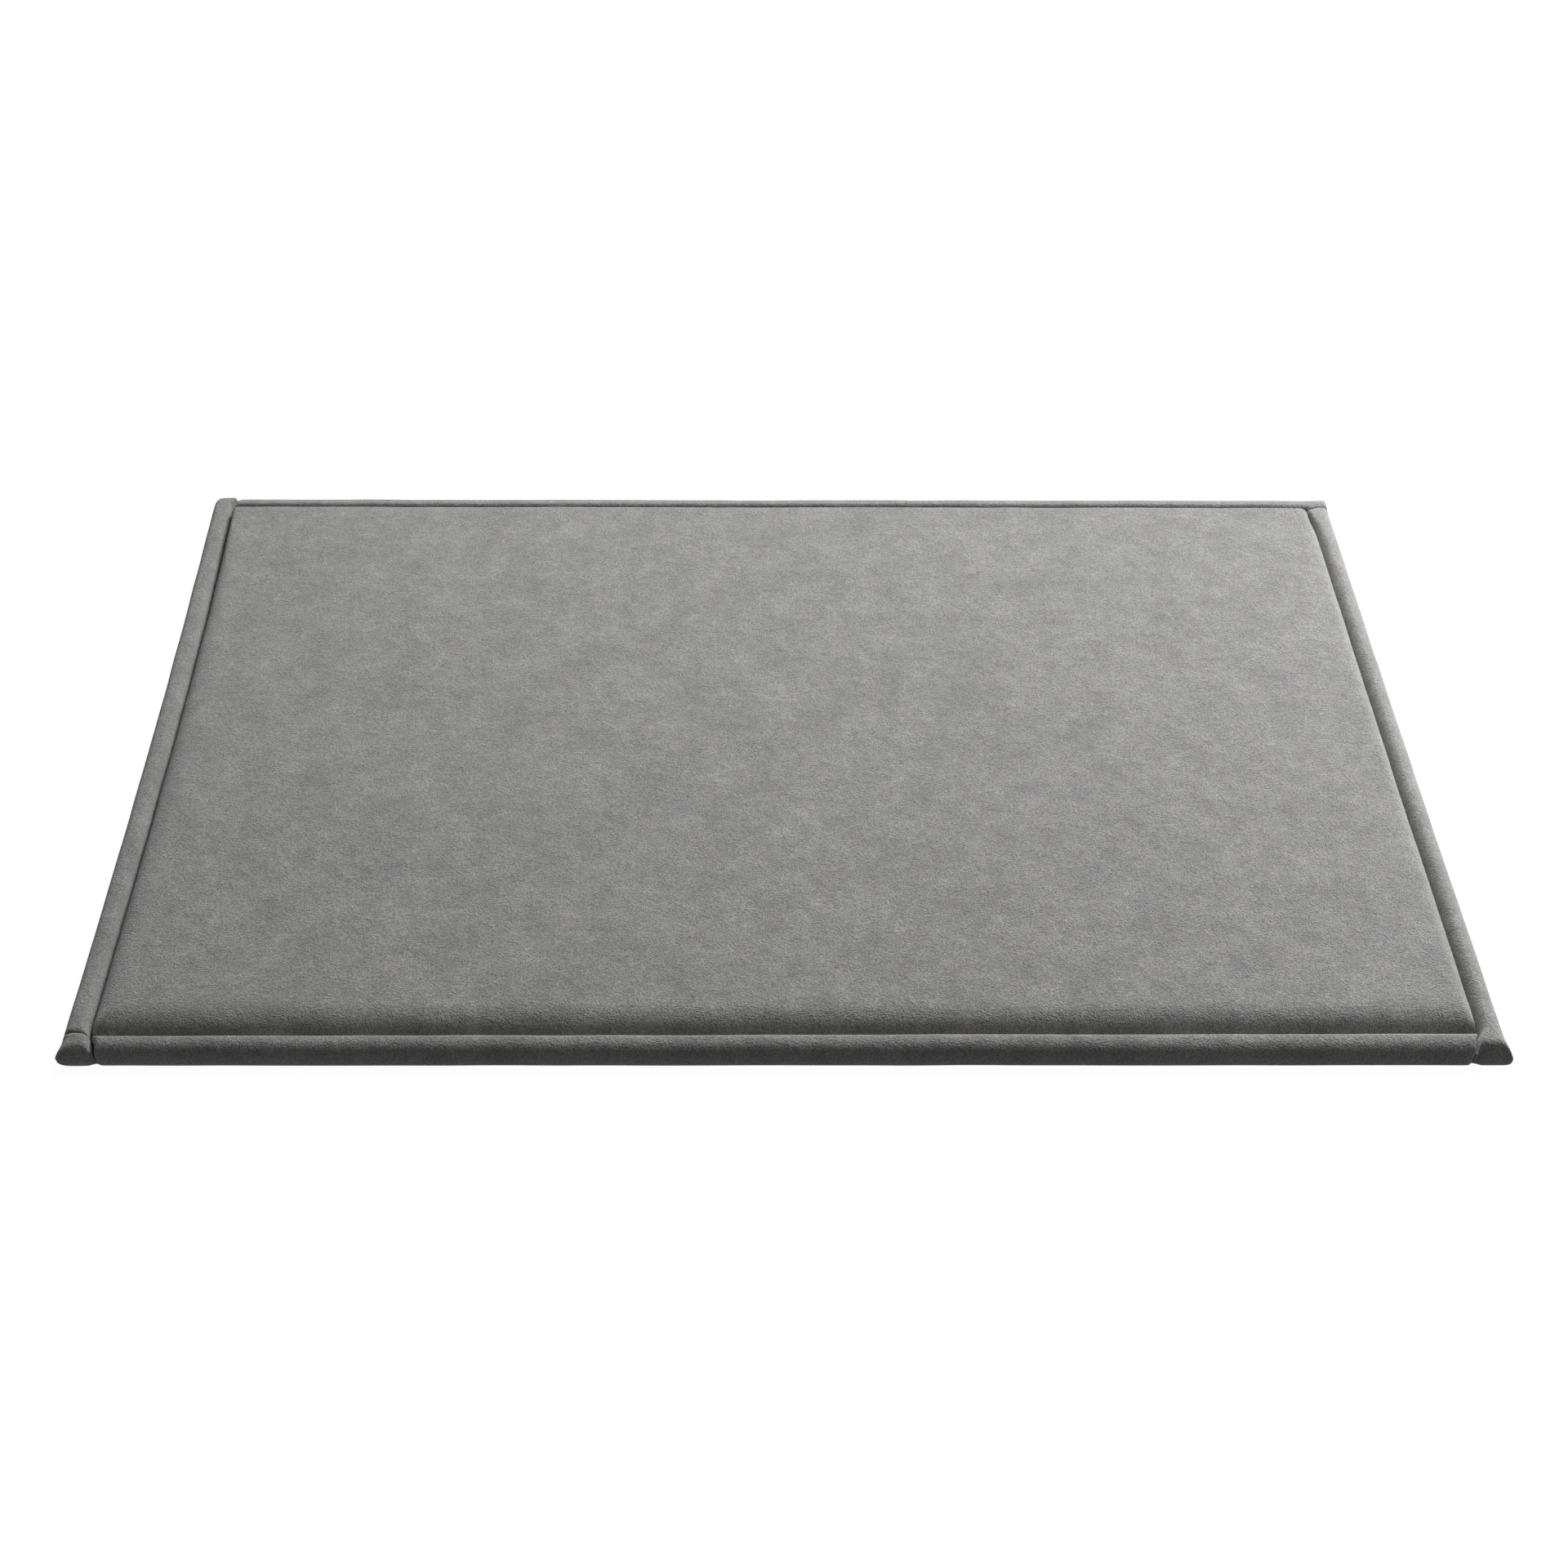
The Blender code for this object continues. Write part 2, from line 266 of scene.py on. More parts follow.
def spread(x, y, seam, edge, end, shift, length):
    """How far a side seam is pushed in where the border roll beside it spreads over its last length.

    It is nothing at the mat's outer edge, the full shift at the seam, and fades out towards the middle.
    """
    along = smooth(1 - np.abs(y - end) / length)
    outside = np.clip((x - edge) / (seam - edge), 0, 1)
    inside = 1 - smooth(np.abs(x - seam) / ROLL_END_FADE)
    beyond = np.where((x - seam) * (edge - seam) > 0, outside, inside)
    return shift * along * beyond


def notches(x, y):
    """Where a seam meets the mat's edge its stitches pull the edge in and up: both shifts and the lift.

    Each seam end has its place, the way in from there, and its share of the full notch.
    """
    ends = (
        (LEFT_SEAM, Y0, 0, 1, 1.2),
        (RIGHT_SEAM, Y0, 0, 1, 1.6),
        (LEFT_SEAM, Y1, 0, -1, 0.5),
        (X0, FRONT_SEAM, 1, 0, 0.4),
        (X1, BACK_SEAM, -1, 0, 0.4),
    )
    total = np.zeros((3, len(x)))
    for end_x, end_y, in_x, in_y, share in ends:
        pull = share * near(np.hypot(x - end_x, y - end_y), NOTCH_WIDTH)
        total += np.stack([in_x * NOTCH_DEPTH * pull, in_y * NOTCH_DEPTH * pull, NOTCH_LIFT * pull])
    return total


def press(x, y, z):
    """How far cloth is drawn towards a side seam, higher up, where the pads beside it press together."""
    total = np.zeros_like(x)
    for seam, place, share in PRESSED:
        drawn = share * near(x - seam, PRESS_WIDTH) * near(y - place, PRESS_LENGTH)
        total += (seam - x) * drawn * np.clip(z / BORDER_TOP, 0, 1)
    return total


def sideways(x, y, z):
    """How far points have moved along x."""
    from_left = np.clip(1 - (x - X0) / BOW_FADE, 0, 1)
    from_right = np.clip(1 - (X1 - x) / BOW_FADE, 0, 1)
    bow = (LEFT_BOW * from_left - RIGHT_BOW * from_right) * (1 - (2 * y / (Y1 - Y0)) ** 2)
    ends = spread(x, y, LEFT_SEAM, X0, Y0, LEFT_SPREAD, LEFT_ROLL_END)
    ends += spread(x, y, RIGHT_SEAM, X1, Y0, -RIGHT_SPREAD, ROLL_END)
    ends += spread(x, y, LEFT_SEAM, X0, Y1, LEFT_BACK_SPREAD, SHORT_ROLL_END)
    ends += spread(x, y, RIGHT_SEAM, X1, BACK_SEAM, -RIGHT_BACK_SPREAD, LONG_ROLL_END)
    flare = RIGHT_FLARE * near(x - X1, FLARE_FADE_X) - LEFT_FLARE * near(x - X0, FLARE_FADE_X)
    flare *= near(y - Y0, FLARE_FADE_Y) * near(z - FLARE_LEVEL, FLARE_FADE_Z)
    waver = SIDE_WAVER * ripple(x, y, *WAVER_LENGTHS, seed=3)
    slip = -LEFT_SLIP * near(x - LEFT_SEAM, LEFT_SLIP_FADE) * smooth((Y1 - y) / (Y1 - Y0))
    lean = LEFT_LEAN * near(x - LEFT_SEAM, LEAN_FADE_X) - RIGHT_LEAN * near(x - RIGHT_SEAM, LEAN_FADE_X)
    lean *= near(y - LEAN_PLACE, LEAN_FADE_Y) * z / BORDER_TOP
    return bow + ends + flare + waver + slip + lean + press(x, y, z)


def lengthways(x, y):
    """How far points have moved along y."""
    askew = np.where(y > 0, y / Y1, -near(y - FRONT_SEAM, SKEW_FADE)) * -SEAM_SKEW * x / X1
    slip = FRONT_SLIP * near(y - FRONT_SEAM, SLIP_FADE) + BACK_SLIP * near(y - BACK_SEAM, SLIP_FADE)
    rise = BACK_RISE * smooth((x - RIGHT_SEAM) / RISE_LENGTH) * near(y - BACK_SEAM, RISE_FADE)
    dip = BACK_DIP * near(x - RIGHT_SEAM, DIP_FADE_X) * near(y - BACK_SEAM, DIP_FADE_Y)
    bulge = FRONT_BULGE * near(x - FRONT_BULGE_PLACE, BULGE_FADE_X) * near(y - Y0, BULGE_FADE_Y)
    dent = BACK_DENT * near(x - BACK_DENT_PLACE, BULGE_FADE_X) * near(y - Y1, BULGE_FADE_Y)
    waver = END_WAVER * ripple(x, y, *WAVER_LENGTHS, seed=4)
    return askew - slip + rise - dip - bulge - dent + waver


def settle(points):
    """Moves points as the whole mat has settled, so that its layers move together and stay in order.

    The left edge bows in, the side rolls spread, flare and lean at their ends, pads press together where
    seams meet at the back, the seams are a little askew, and edges and pads are a little uneven.
    """
    x, y, z = np.asarray(points, float).T
    swell = SWELL * ripple(x, y, *SWELL_LENGTHS, seed=5) + PUCKER * ripple(x, y, *PUCKER_LENGTHS, seed=6)
    in_x, in_y, lift = notches(x, y)
    height = z * (1 + swell) + lift * (1 - z / BORDER_TOP)
    return np.stack([x + sideways(x, y, z) + in_x, y + lengthways(x, y) + in_y, height], axis=1)


# ---------------------------------------------------------------- meshes


def add_mesh(name, points, faces):
    mesh = bpy.data.meshes.new(name)
    mesh.from_pydata([tuple(p) for p in points], [], faces)
    mesh.update()
    mesh.shade_smooth()
    piece = bpy.data.objects.new(name, mesh)
    bpy.context.scene.collection.objects.link(piece)
    return piece


def stand_for(piece, node, material):
    """Gives a piece its material, puts it under the root body and hides the CAD node that it stands for."""
    piece.data.materials.append(material)
    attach(piece, "root")
    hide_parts(node)


def thicken(piece, thickness):
    """Turns a single surface into cloth: the thickness goes away from the side that its faces show."""
    cloth = piece.modifiers.new("cloth thickness", "SOLIDIFY")
    cloth.thickness = thickness
    cloth.offset = -1


def lines(start, stop, start_reach, stop_reach, step):
    """Grid lines from start to stop, close together where the surface turns down towards either end."""
    turn = 1 - np.cos(np.linspace(0, 0.5 * math.pi, TURN_STEPS + 1))
    count = max(1, round((stop - start - start_reach - stop_reach) / step))
    between = np.linspace(start + start_reach, stop - stop_reach, count + 1)[1:-1]
    return np.concatenate([start + start_reach * turn, between, (stop - stop_reach * turn)[::-1]])


def plan(xs, ys):
    """The points of a grid, one row of ys for each of xs."""
    x, y = np.meshgrid(xs, ys, indexing="ij")
    return x.ravel(), y.ravel()


def grid_faces(columns, rows):
    return [
        (i * rows + j, (i + 1) * rows + j, (i + 1) * rows + j + 1, i * rows + j + 1)
        for i in range(columns - 1)
        for j in range(rows - 1)
    ]


def rim_of(columns, rows):
    """The grid's outer points in order, anticlockwise seen from above."""
    front = [i * rows for i in range(columns)]
    right = [(columns - 1) * rows + j for j in range(1, rows)]
    back = [i * rows + rows - 1 for i in range(columns - 2, -1, -1)]
    left = list(range(rows - 2, 0, -1))
    return front + right + back + left


def band_faces(loops):
    """Quads between loops of points, each loop lying below or inside the one before."""
    return [
        (upper[n - 1], lower[n - 1], lower[n], upper[n])
        for upper, lower in zip(loops, loops[1:])
        for n in range(len(upper))
    ]


def unit(vectors):
    return vectors / np.linalg.norm(vectors, axis=1, keepdims=True)


def tube(path, radius, closed=False):
    """Points and faces of a round thread along a path."""
    path = np.asarray(path, float)
    ahead, behind = np.roll(path, -1, axis=0), np.roll(path, 1, axis=0)
    if not closed:
        ahead[-1], behind[0] = path[-1], path[0]
    tangent = unit(ahead - behind)
    side = unit(np.cross(tangent, (0, 0, 1)))
    up = np.cross(side, tangent)
    angle = np.arange(THREAD_SIDES) * 2 * math.pi / THREAD_SIDES
    ring = np.cos(angle)[None, :, None] * side[:, None, :] + np.sin(angle)[None, :, None] * up[:, None, :]
    points = (path[:, None, :] + radius * ring).reshape(-1, 3)
    rings = [list(range(k * THREAD_SIDES, (k + 1) * THREAD_SIDES)) for k in range(len(path))]
    faces = band_faces(rings + rings[:1] if closed else rings)
    if not closed:
        faces += [tuple(rings[0]), tuple(reversed(rings[-1]))]
    return points, faces


# ---------------------------------------------------------------- pads


def towards_sides(at, low, high, low_reach, high_reach):
    """0 on a pad's crest, -1 at its low side and 1 at its high side."""
    up = np.clip((at - high + high_reach) / high_reach, 0, 1)
    return up - np.clip((low + low_reach - at) / low_reach, 0, 1)


def of_sides(values, along_x, along_y):
    """From values for left, right, front and back: those of the two sides that each point is nearer to."""
    left, right, front, back = values
    return np.where(along_x < 0, left, right), np.where(along_y < 0, front, back)


def of_corner(values, along_x, along_y):
    """From values for front left, front right, back right and back left: that of each point's corner."""
    front_left, front_right, back_right, back_left = values
    at_front = np.where(along_x < 0, front_left, front_right)
    at_back = np.where(along_x < 0, back_left, back_right)
    return np.where(along_y < 0, at_front, at_back)


def seam_level(x):
    """Height of the cloth at the bottom of a front or back seam: a shallow crease over the side rolls."""
    level = np.full_like(x, FLOOR_LEVEL)
    for low, high in ((X0, LEFT_OUT), (RIGHT_OUT, X1)):
        across = np.clip(np.abs(2 * x - low - high) / (high - low), 0, 1)
        level += CREASE_SHARE * (BORDER_TOP - FLOOR_LEVEL) * (1 - across**CREASE_POWER) ** (1 / CREASE_POWER)
    return level


def closed_lift(x, y):
    """How far the left seam's bottom is lifted at the back edge, where two rolls press together."""
    return CLOSED_LIFT * near(x - LEFT_SEAM, CLOSED_WIDTH) * near(y - Y1, CLOSED_WIDTH)


def side_reaches(pad, y):
    """The reaches of a pad's left and right sides, which shrink towards its front and back ends."""
    left, right = pad.reach[:2]
    at_front, at_back = near(y - pad.y0, pad.end_length), near(y - pad.y1, pad.end_length)
    front_left, front_right, back_right, back_left = pad.shares
    left = left * (1 - (1 - front_left) * at_front - (1 - back_left) * at_back)
    right = right * (1 - (1 - front_right) * at_front - (1 - back_right) * at_back)
    return left, right


def on_pad(pad, x, y):
    """The pad's surface over plan grid points, with the grid drawn in round its corners."""
    lift = closed_lift(x, y)
    seam = seam_level(x) + lift
    left, right = side_reaches(pad, y)
    front, back = pad.reach[2:]
    along_x = towards_sides(x, pad.x0, pad.x1, left, right)
    along_y = towards_sides(y, pad.y0, pad.y1, front, back)
    a, b = np.abs(along_x), np.abs(along_y)
    most = np.maximum(a, b)

    bend = of_corner(pad.bends, along_x, along_y)
    norm = (a**bend + b**bend) ** (1 / bend)
    drawn = np.where(norm > 0, most / np.maximum(norm, TINY), 1.0)
    reach_x, reach_y = of_sides((left, right, front, back), along_x, along_y)
    x = x - along_x * (1 - drawn) * reach_x
    y = y - along_y * (1 - drawn) * reach_y

    weight_x, weight_y = a**SIDE_BLEND + TINY, b**SIDE_BLEND + TINY
    edge_x, edge_y = of_sides(pad.edges, along_x, along_y)
    base_x = np.where(edge_x, EDGE_LEVEL, FLOOR_LEVEL + lift)
    base_y = np.where(edge_y, EDGE_LEVEL, seam)
    base = (base_x * weight_x + base_y * weight_y) / (weight_x + weight_y)
    crown_x, crown_y = of_sides(pad.crowns, along_x, along_y)
    crown = (crown_x * weight_x + crown_y * weight_y) / (weight_x + weight_y)
    rise = np.maximum(1 - most**crown, 0) ** (1 / crown)
    return np.stack([x, y, base + (pad.top - base) * rise], axis=1)


# ---------------------------------------------------------------- cover


def squeeze(at, low, high, inset, span):
    """Moves the ends of a range in by an inset, and leaves what is over a span from either end."""
    from_low, from_high = np.clip(at - low, 0, span), np.clip(high - at, 0, span)
    return at + inset * (1 - from_low / span) - inset * (1 - from_high / span)


def cover_top():
    """The size of the cover's grid, and the plan and surface points of its upper side."""
    left, right, front, back = PANEL_REACH
    xs = np.concatenate(
        [
            lines(X0, LEFT_OUT, *LEFT_REACH, PANEL_STEP),
            [LEFT_SEAM],
            lines(LEFT_IN, RIGHT_IN, left, right, PANEL_STEP),
            [RIGHT_SEAM],
            lines(RIGHT_OUT, X1, *RIGHT_REACH, PANEL_STEP),
        ]
    )
    ys = np.concatenate(
        [
            lines(Y0, FRONT_OUT, *FRONT_REACH, PANEL_STEP),
            [FRONT_SEAM],
            lines(FRONT_IN, BACK_IN, front, back, PANEL_STEP),
            [BACK_SEAM],
            lines(BACK_OUT, Y1, *BACK_REACH, PANEL_STEP),
        ]
    )
    plan_x, plan_y = plan(xs, ys)
    x = squeeze(plan_x, X0, X1, NOTCH_AT_SEAM, LEFT_REACH[0])
    y = squeeze(plan_y, Y0, Y1, NOTCH_AT_SEAM, FRONT_REACH[0])
    points = np.stack([x, y, seam_level(plan_x) + closed_lift(plan_x, plan_y)], axis=1)
    for pad in PADS.values():
        inside = (plan_x > pad.x0 - SLACK) & (plan_x < pad.x1 + SLACK)
        inside &= (plan_y > pad.y0 - SLACK) & (plan_y < pad.y1 + SLACK)
        points[inside] = on_pad(pad, plan_x[inside], plan_y[inside])
    return len(xs), len(ys), plan_x, plan_y, points


def velvet_cover(material):
    """The cover's upper side, its turn round the edge, and the hem under the mat."""
    columns, rows, plan_x, plan_y, top = cover_top()
    rim = rim_of(columns, rows)
    rim_x, rim_y = plan_x[rim], plan_y[rim]
    off_x, off_y, rim_z = top[rim, 0] - rim_x, top[rim, 1] - rim_y, top[rim, 2]
    span = min(LEFT_OUT - X0, X1 - RIGHT_OUT, FRONT_OUT - Y0, Y1 - BACK_OUT)
    turn = [0.5 * math.pi * k / UNDER_STEPS for k in range(1, UNDER_STEPS + 1)]
    levels = [(UNDER_RADIUS * (1 - math.cos(a)), math.sin(a)) for a in turn]
    levels += [(inset, 1.0) for inset in np.linspace(UNDER_RADIUS, HEM_WIDTH, HEM_STEPS + 1)[1:]]
    rings = []
    for inset, down in levels:
        fade = 1 - inset / HEM_WIDTH
        x = squeeze(rim_x, X0, X1, inset, span) + fade * off_x
        y = squeeze(rim_y, Y0, Y1, inset, span) + fade * off_y
        z = rim_z + (HEM_BOTTOM - rim_z) * down
        rings.append(np.stack([x, y, z], axis=1))
    starts = [len(top) + k * len(rim) for k in range(len(rings))]
    loops = [rim] + [list(range(start, start + len(rim))) for start in starts]
    points = settle(np.concatenate([top, *rings]))
    cover = add_mesh("velvet_cover_cloth", points, grid_faces(columns, rows) + band_faces(loops))
    thicken(cover, COVER_THICKNESS)
    stand_for(cover, "velvet_cover", material)


# ---------------------------------------------------------------- foam


def foam(name, pad, material):
    """The filling of one pad, a little inside the cover."""
    reach = tuple(side - FOAM_OFFSET for side in pad.reach)
    inner = pad._replace(
        x0=pad.x0 + FOAM_OFFSET,
        x1=pad.x1 - FOAM_OFFSET,
        y0=pad.y0 + FOAM_OFFSET,
        y1=pad.y1 - FOAM_OFFSET,
        top=pad.top - FOAM_OFFSET,
        reach=reach,
        edges=(1, 1, 1, 1),
    )
    xs = lines(inner.x0, inner.x1, reach[0], reach[1], FOAM_STEP)
    ys = lines(inner.y0, inner.y1, reach[2], reach[3], FOAM_STEP)
    plan_x, plan_y = plan(xs, ys)
    top = on_pad(inner, plan_x, plan_y)
    crest_x = np.clip(plan_x, inner.x0 + reach[0], inner.x1 - reach[1])
    crest_y = np.clip(plan_y, inner.y0 + reach[2], inner.y1 - reach[3])
    bottom = top.copy()
    bottom[:, 0] += FOAM_UNDER_SHARE * (crest_x - top[:, 0])
    bottom[:, 1] += FOAM_UNDER_SHARE * (crest_y - top[:, 1])
    bottom[:, 2] = FOAM_BOTTOM
    rim = rim_of(len(xs), len(ys))
    rings = []
    for k in range(1, UNDER_STEPS):
        angle = 0.5 * math.pi * k / UNDER_STEPS
        ring = top[rim] + (1 - math.cos(angle)) * (bottom[rim] - top[rim])
        ring[:, 2] = EDGE_LEVEL + (FOAM_BOTTOM - EDGE_LEVEL) * math.sin(angle)
        rings.append(ring)
    size, count = len(top), len(rim)
    starts = [2 * size + k * count for k in range(len(rings))]
    loops = [rim] + [list(range(start, start + count)) for start in starts] + [[size + n for n in rim]]
    faces = grid_faces(len(xs), len(ys)) + band_faces(loops)
    faces += [tuple(size + n for n in reversed(face)) for face in grid_faces(len(xs), len(ys))]
    piece = add_mesh(f"{name}_foam_fill", settle(np.concatenate([top, bottom, *rings])), faces)
    stand_for(piece, f"{name}_foam", material)


# ---------------------------------------------------------------- backing, grip and label


def flat_cloth(name, node, step, material, shape=None):
    """A thin cloth as wide and long as its CAD node, made from its lower side up."""
    (x0, y0, z0), (x1, y1, z1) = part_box(node)
    xs = np.linspace(x0, x1, max(2, round((x1 - x0) / step)) + 1)
    ys = np.linspace(y0, y1, max(2, round((y1 - y0) / step)) + 1)
    x, y = plan(xs, ys)
    z = shape(x, y) if shape else np.full_like(x, z0)
    faces = [tuple(reversed(face)) for face in grid_faces(len(xs), len(ys))]
    piece = add_mesh(name, settle(np.stack([x, y, z], axis=1)), faces)
    thicken(piece, z1 - z0)
    stand_for(piece, node, material)
    return piece, (y1 - y0, x1 - x0)


def backing_cloth(material):
    piece, flat = flat_cloth("backing_cloth_weave", "backing_cloth", CLOTH_STEP, material)


def care_label(material):
    """A blank ribbon sewn down at its back edge, with its front edge hanging a little."""
    (x0, y0, z0), (_, y1, _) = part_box("care_label")

    def droop(x, y):
        free = (y1 - y) / (y1 - y0)
        wave = np.sin((x - x0) / LABEL_WAVE_LENGTH)
        return z0 - LABEL_DROOP * free**2 + LABEL_WAVE * free * wave

    piece, flat = flat_cloth("care_label_ribbon", "care_label", LABEL_STEP, material, droop)


def ring_about(x, y, half_x, half_y, z):
    """The ring of points round a cell of the grip."""
    return [(x + i * half_x, y + j * half_y, z) for i, j in GRIP_RING]


def round_about(x, y, radius, z):
    """As many points on a circle, in the same order."""
    count = len(GRIP_RING)
    angles = [-2 * math.pi * k / count for k in range(count)]
    return [(x + radius * math.cos(a), y + radius * math.sin(a), z) for a in angles]


def grip_layer(material):
    """A thin rubber film with staggered round dots on its lower side, left open round the label."""
    (x0, y0, z0), (x1, y1, z1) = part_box("grip_layer")
    label_low, label_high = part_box("care_label")
    film = z0 + GRIP_FILM_LEVEL
    columns = round((x1 - x0) / GRIP_PITCH)
    rows = round((y1 - y0) / (GRIP_PITCH * math.sin(math.pi / 3)))
    half_x, half_y = 0.5 * (x1 - x0) / columns, 0.5 * (y1 - y0) / rows
    mesh = bmesh.new()
    made = {}

    def vertex(point):
        key = tuple(round(value * MICRONS) for value in point)
        if key not in made:
            made[key] = mesh.verts.new(point)
        return made[key]

    def under_label(x, y):
        beside = max(label_low[0] - x, x - label_high[0])
        return beside < half_x + GRIP_MARGIN and y + half_y > label_low[1] - GRIP_MARGIN

    def cell(x, y, outline, dotted):
        edge = [vertex(point) for point in outline]
        mesh.faces.new([vertex((v.co.x, v.co.y, z1)) for v in reversed(edge)])
        if not dotted:
            mesh.faces.new(edge)
            return
        loops = [edge]
        for share, down in GRIP_DOT_LOOPS:
            points = round_about(x, y, share * GRIP_DOT_RADIUS, film + down * (z0 - film))
            loops.append([vertex(point) for point in points])
        for outer, inner in zip(loops, loops[1:]):
            for n in range(len(GRIP_RING)):
                mesh.faces.new((outer[n - 1], outer[n], inner[n], inner[n - 1]))
        mesh.faces.new(loops[-1])

    for row in range(rows):
        y = y0 + (2 * row + 1) * half_y
        odd = row % 2
        for column in range(columns - odd):
            x = x0 + (2 * column + 1 + odd) * half_x
            if not under_label(x, y):
                cell(x, y, ring_about(x, y, half_x, half_y, film), True)
        if odd:
            for end, side in ((x0, 1), (x1, -1)):
                x = end + side * half_x
                half = [(x, y), (x, y - half_y), (end, y - half_y)]
                half += [(end, y), (end, y + half_y), (x, y + half_y)]
                cell(x, y, [(*point, film) for point in half[::side]], False)

    below_top = z1 - 1 / MICRONS
    rim = [edge for edge in mesh.edges if edge.is_boundary and max(v.co.z for v in edge.verts) < below_top]
    for edge in rim:
        loop = edge.link_loops[0]
        a, b = loop.vert, loop.link_loop_next.vert
        mesh.faces.new((b, a, vertex((a.co.x, a.co.y, z1)), vertex((b.co.x, b.co.y, z1))))
    data = bpy.data.meshes.new("grip_layer_dotted")
    mesh.to_mesh(data)
    mesh.free()
    places = np.array([v.co for v in data.vertices])
    for v, place in zip(data.vertices, settle(places)):
        v.co = place
    piece = bpy.data.objects.new("grip_layer_dotted", data)
    bpy.context.scene.collection.objects.link(piece)
    stand_for(piece, "grip_layer", material)


# ---------------------------------------------------------------- threads


def seam_thread(node, radius, material):
    """One seam's row of stitches: a thread that dips into the cloth at each needle hole."""
    low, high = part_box(node)
    axis = 0 if high[0] - low[0] > high[1] - low[1] else 1
    cad_radius = 0.5 * (high[1 - axis] - low[1 - axis])
    start, stop = low[axis] + radius, high[axis] - radius
    stitches = round((stop - start) / STITCH)
    phase = np.linspace(0, stitches, stitches * STITCH_POINTS + 1)
    along = start + (stop - start) * phase / stitches
    across = np.full_like(along, 0.5 * (low[1 - axis] + high[1 - axis]))
    dip = STITCH_DIP * np.cos(math.pi * phase) ** STITCH_SHARPNESS
    level = low[2] + cad_radius
    under = "bobbin" in node
    over_crossing = (high[2] - low[2] - 2 * cad_radius) * near(along - LEFT_SEAM, CROSSING_REACH)
    if axis == 0 and not under:
        level = level + seam_level(along) - FLOOR_LEVEL
    z = level + dip if under else level - dip + over_crossing
    path = np.stack([along, across, z] if axis == 0 else [across, along, z], axis=1)
    points, faces = tube(settle(path), radius)
    stand_for(add_mesh(f"{node}_stitches", points, faces), node, material)


def hem_thread(material):
    """Overlock thread that binds the hem's raw edge: it runs to and fro across the edge."""
    x_half, y_half = X1 - HEM_WIDTH, Y1 - HEM_WIDTH
    corners = [(-x_half, -y_half), (x_half, -y_half), (x_half, y_half), (-x_half, y_half)]
    backing_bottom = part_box("backing_cloth")[0][2]
    on_hem, on_backing = HEM_BOTTOM - HEM_THREAD_RADIUS, backing_bottom - HEM_THREAD_RADIUS
    stages = [(inward, on_hem + share * (on_backing - on_hem)) for inward, share in HEM_STAGES]
    sweep = stages + stages[::-1]
    path = []
    for (ax, ay), (bx, by) in zip(corners, corners[1:] + corners[:1]):
        length = math.hypot(bx - ax, by - ay)
        tx, ty = (bx - ax) / length, (by - ay) / length
        stitches = round(length / HEM_STITCH)
        for k in range(stitches * len(sweep)):
            s = length * (k + 0.5) / (stitches * len(sweep))
            inward, z = sweep[k % len(sweep)]
            path.append((ax + tx * s - ty * inward, ay + ty * s + tx * inward, z))
    points, faces = tube(settle(path), HEM_THREAD_RADIUS, closed=True)
    stand_for(add_mesh("hem_thread_overlock", points, faces), "hem_thread", material)


# ---------------------------------------------------------------- materials

# Velvet. A SIZE is that of a pattern's features, a SHARE its part of the grain, and a SWING how far it makes
# the colour lighter and darker.
VELVET_COLOUR = (0.203, 0.200, 0.196)
VELVET_ROUGHNESS = 0.92
VELVET_SPECULAR = 0.2
SHEEN, SHEEN_ROUGHNESS = 0.58, 0.70
BLOTCH_SIZE, BLOTCH_SWING = 0.028, 0.34
PATCH_SIZE, PATCH_SWING = 0.0100, 0.22
SWIRL_SIZE, WORMS_PER_SWIRL, WORM_SHARE = 0.0052, 7.0, 0.55
FIBRE_SIZE, FIBRE_SHARE = 0.0014, 0.9
GRAIN_SWING = 0.56
PATCH_RISE = 2.0
PILE_DEPTH = 0.00036

# Foam
FOAM_COLOUR = (0.80, 0.74, 0.58)
CELL_SIZE, CELL_DEPTH = 0.0009, 0.0003

# Cloths: the pitch of their threads, and how deep the weave is
BACKING_COLOUR, BACKING_PITCH, BACKING_ROUGHNESS = (0.04, 0.04, 0.042), 0.0008, 0.85
LABEL_COLOUR, LABEL_PITCH, LABEL_ROUGHNESS = (0.70, 0.70, 0.67), 0.0003, 0.5
WEAVE_DEPTH = 0.00015

# Rubber and thread
GRIP_COLOUR, GRIP_ROUGHNESS = (0.055, 0.055, 0.057), 0.55
THREAD_COLOUR, THREAD_ROUGHNESS = (0.06, 0.06, 0.059), 0.6
TWIST_PITCH = 0.0005
FINE_DEPTH = 0.00005


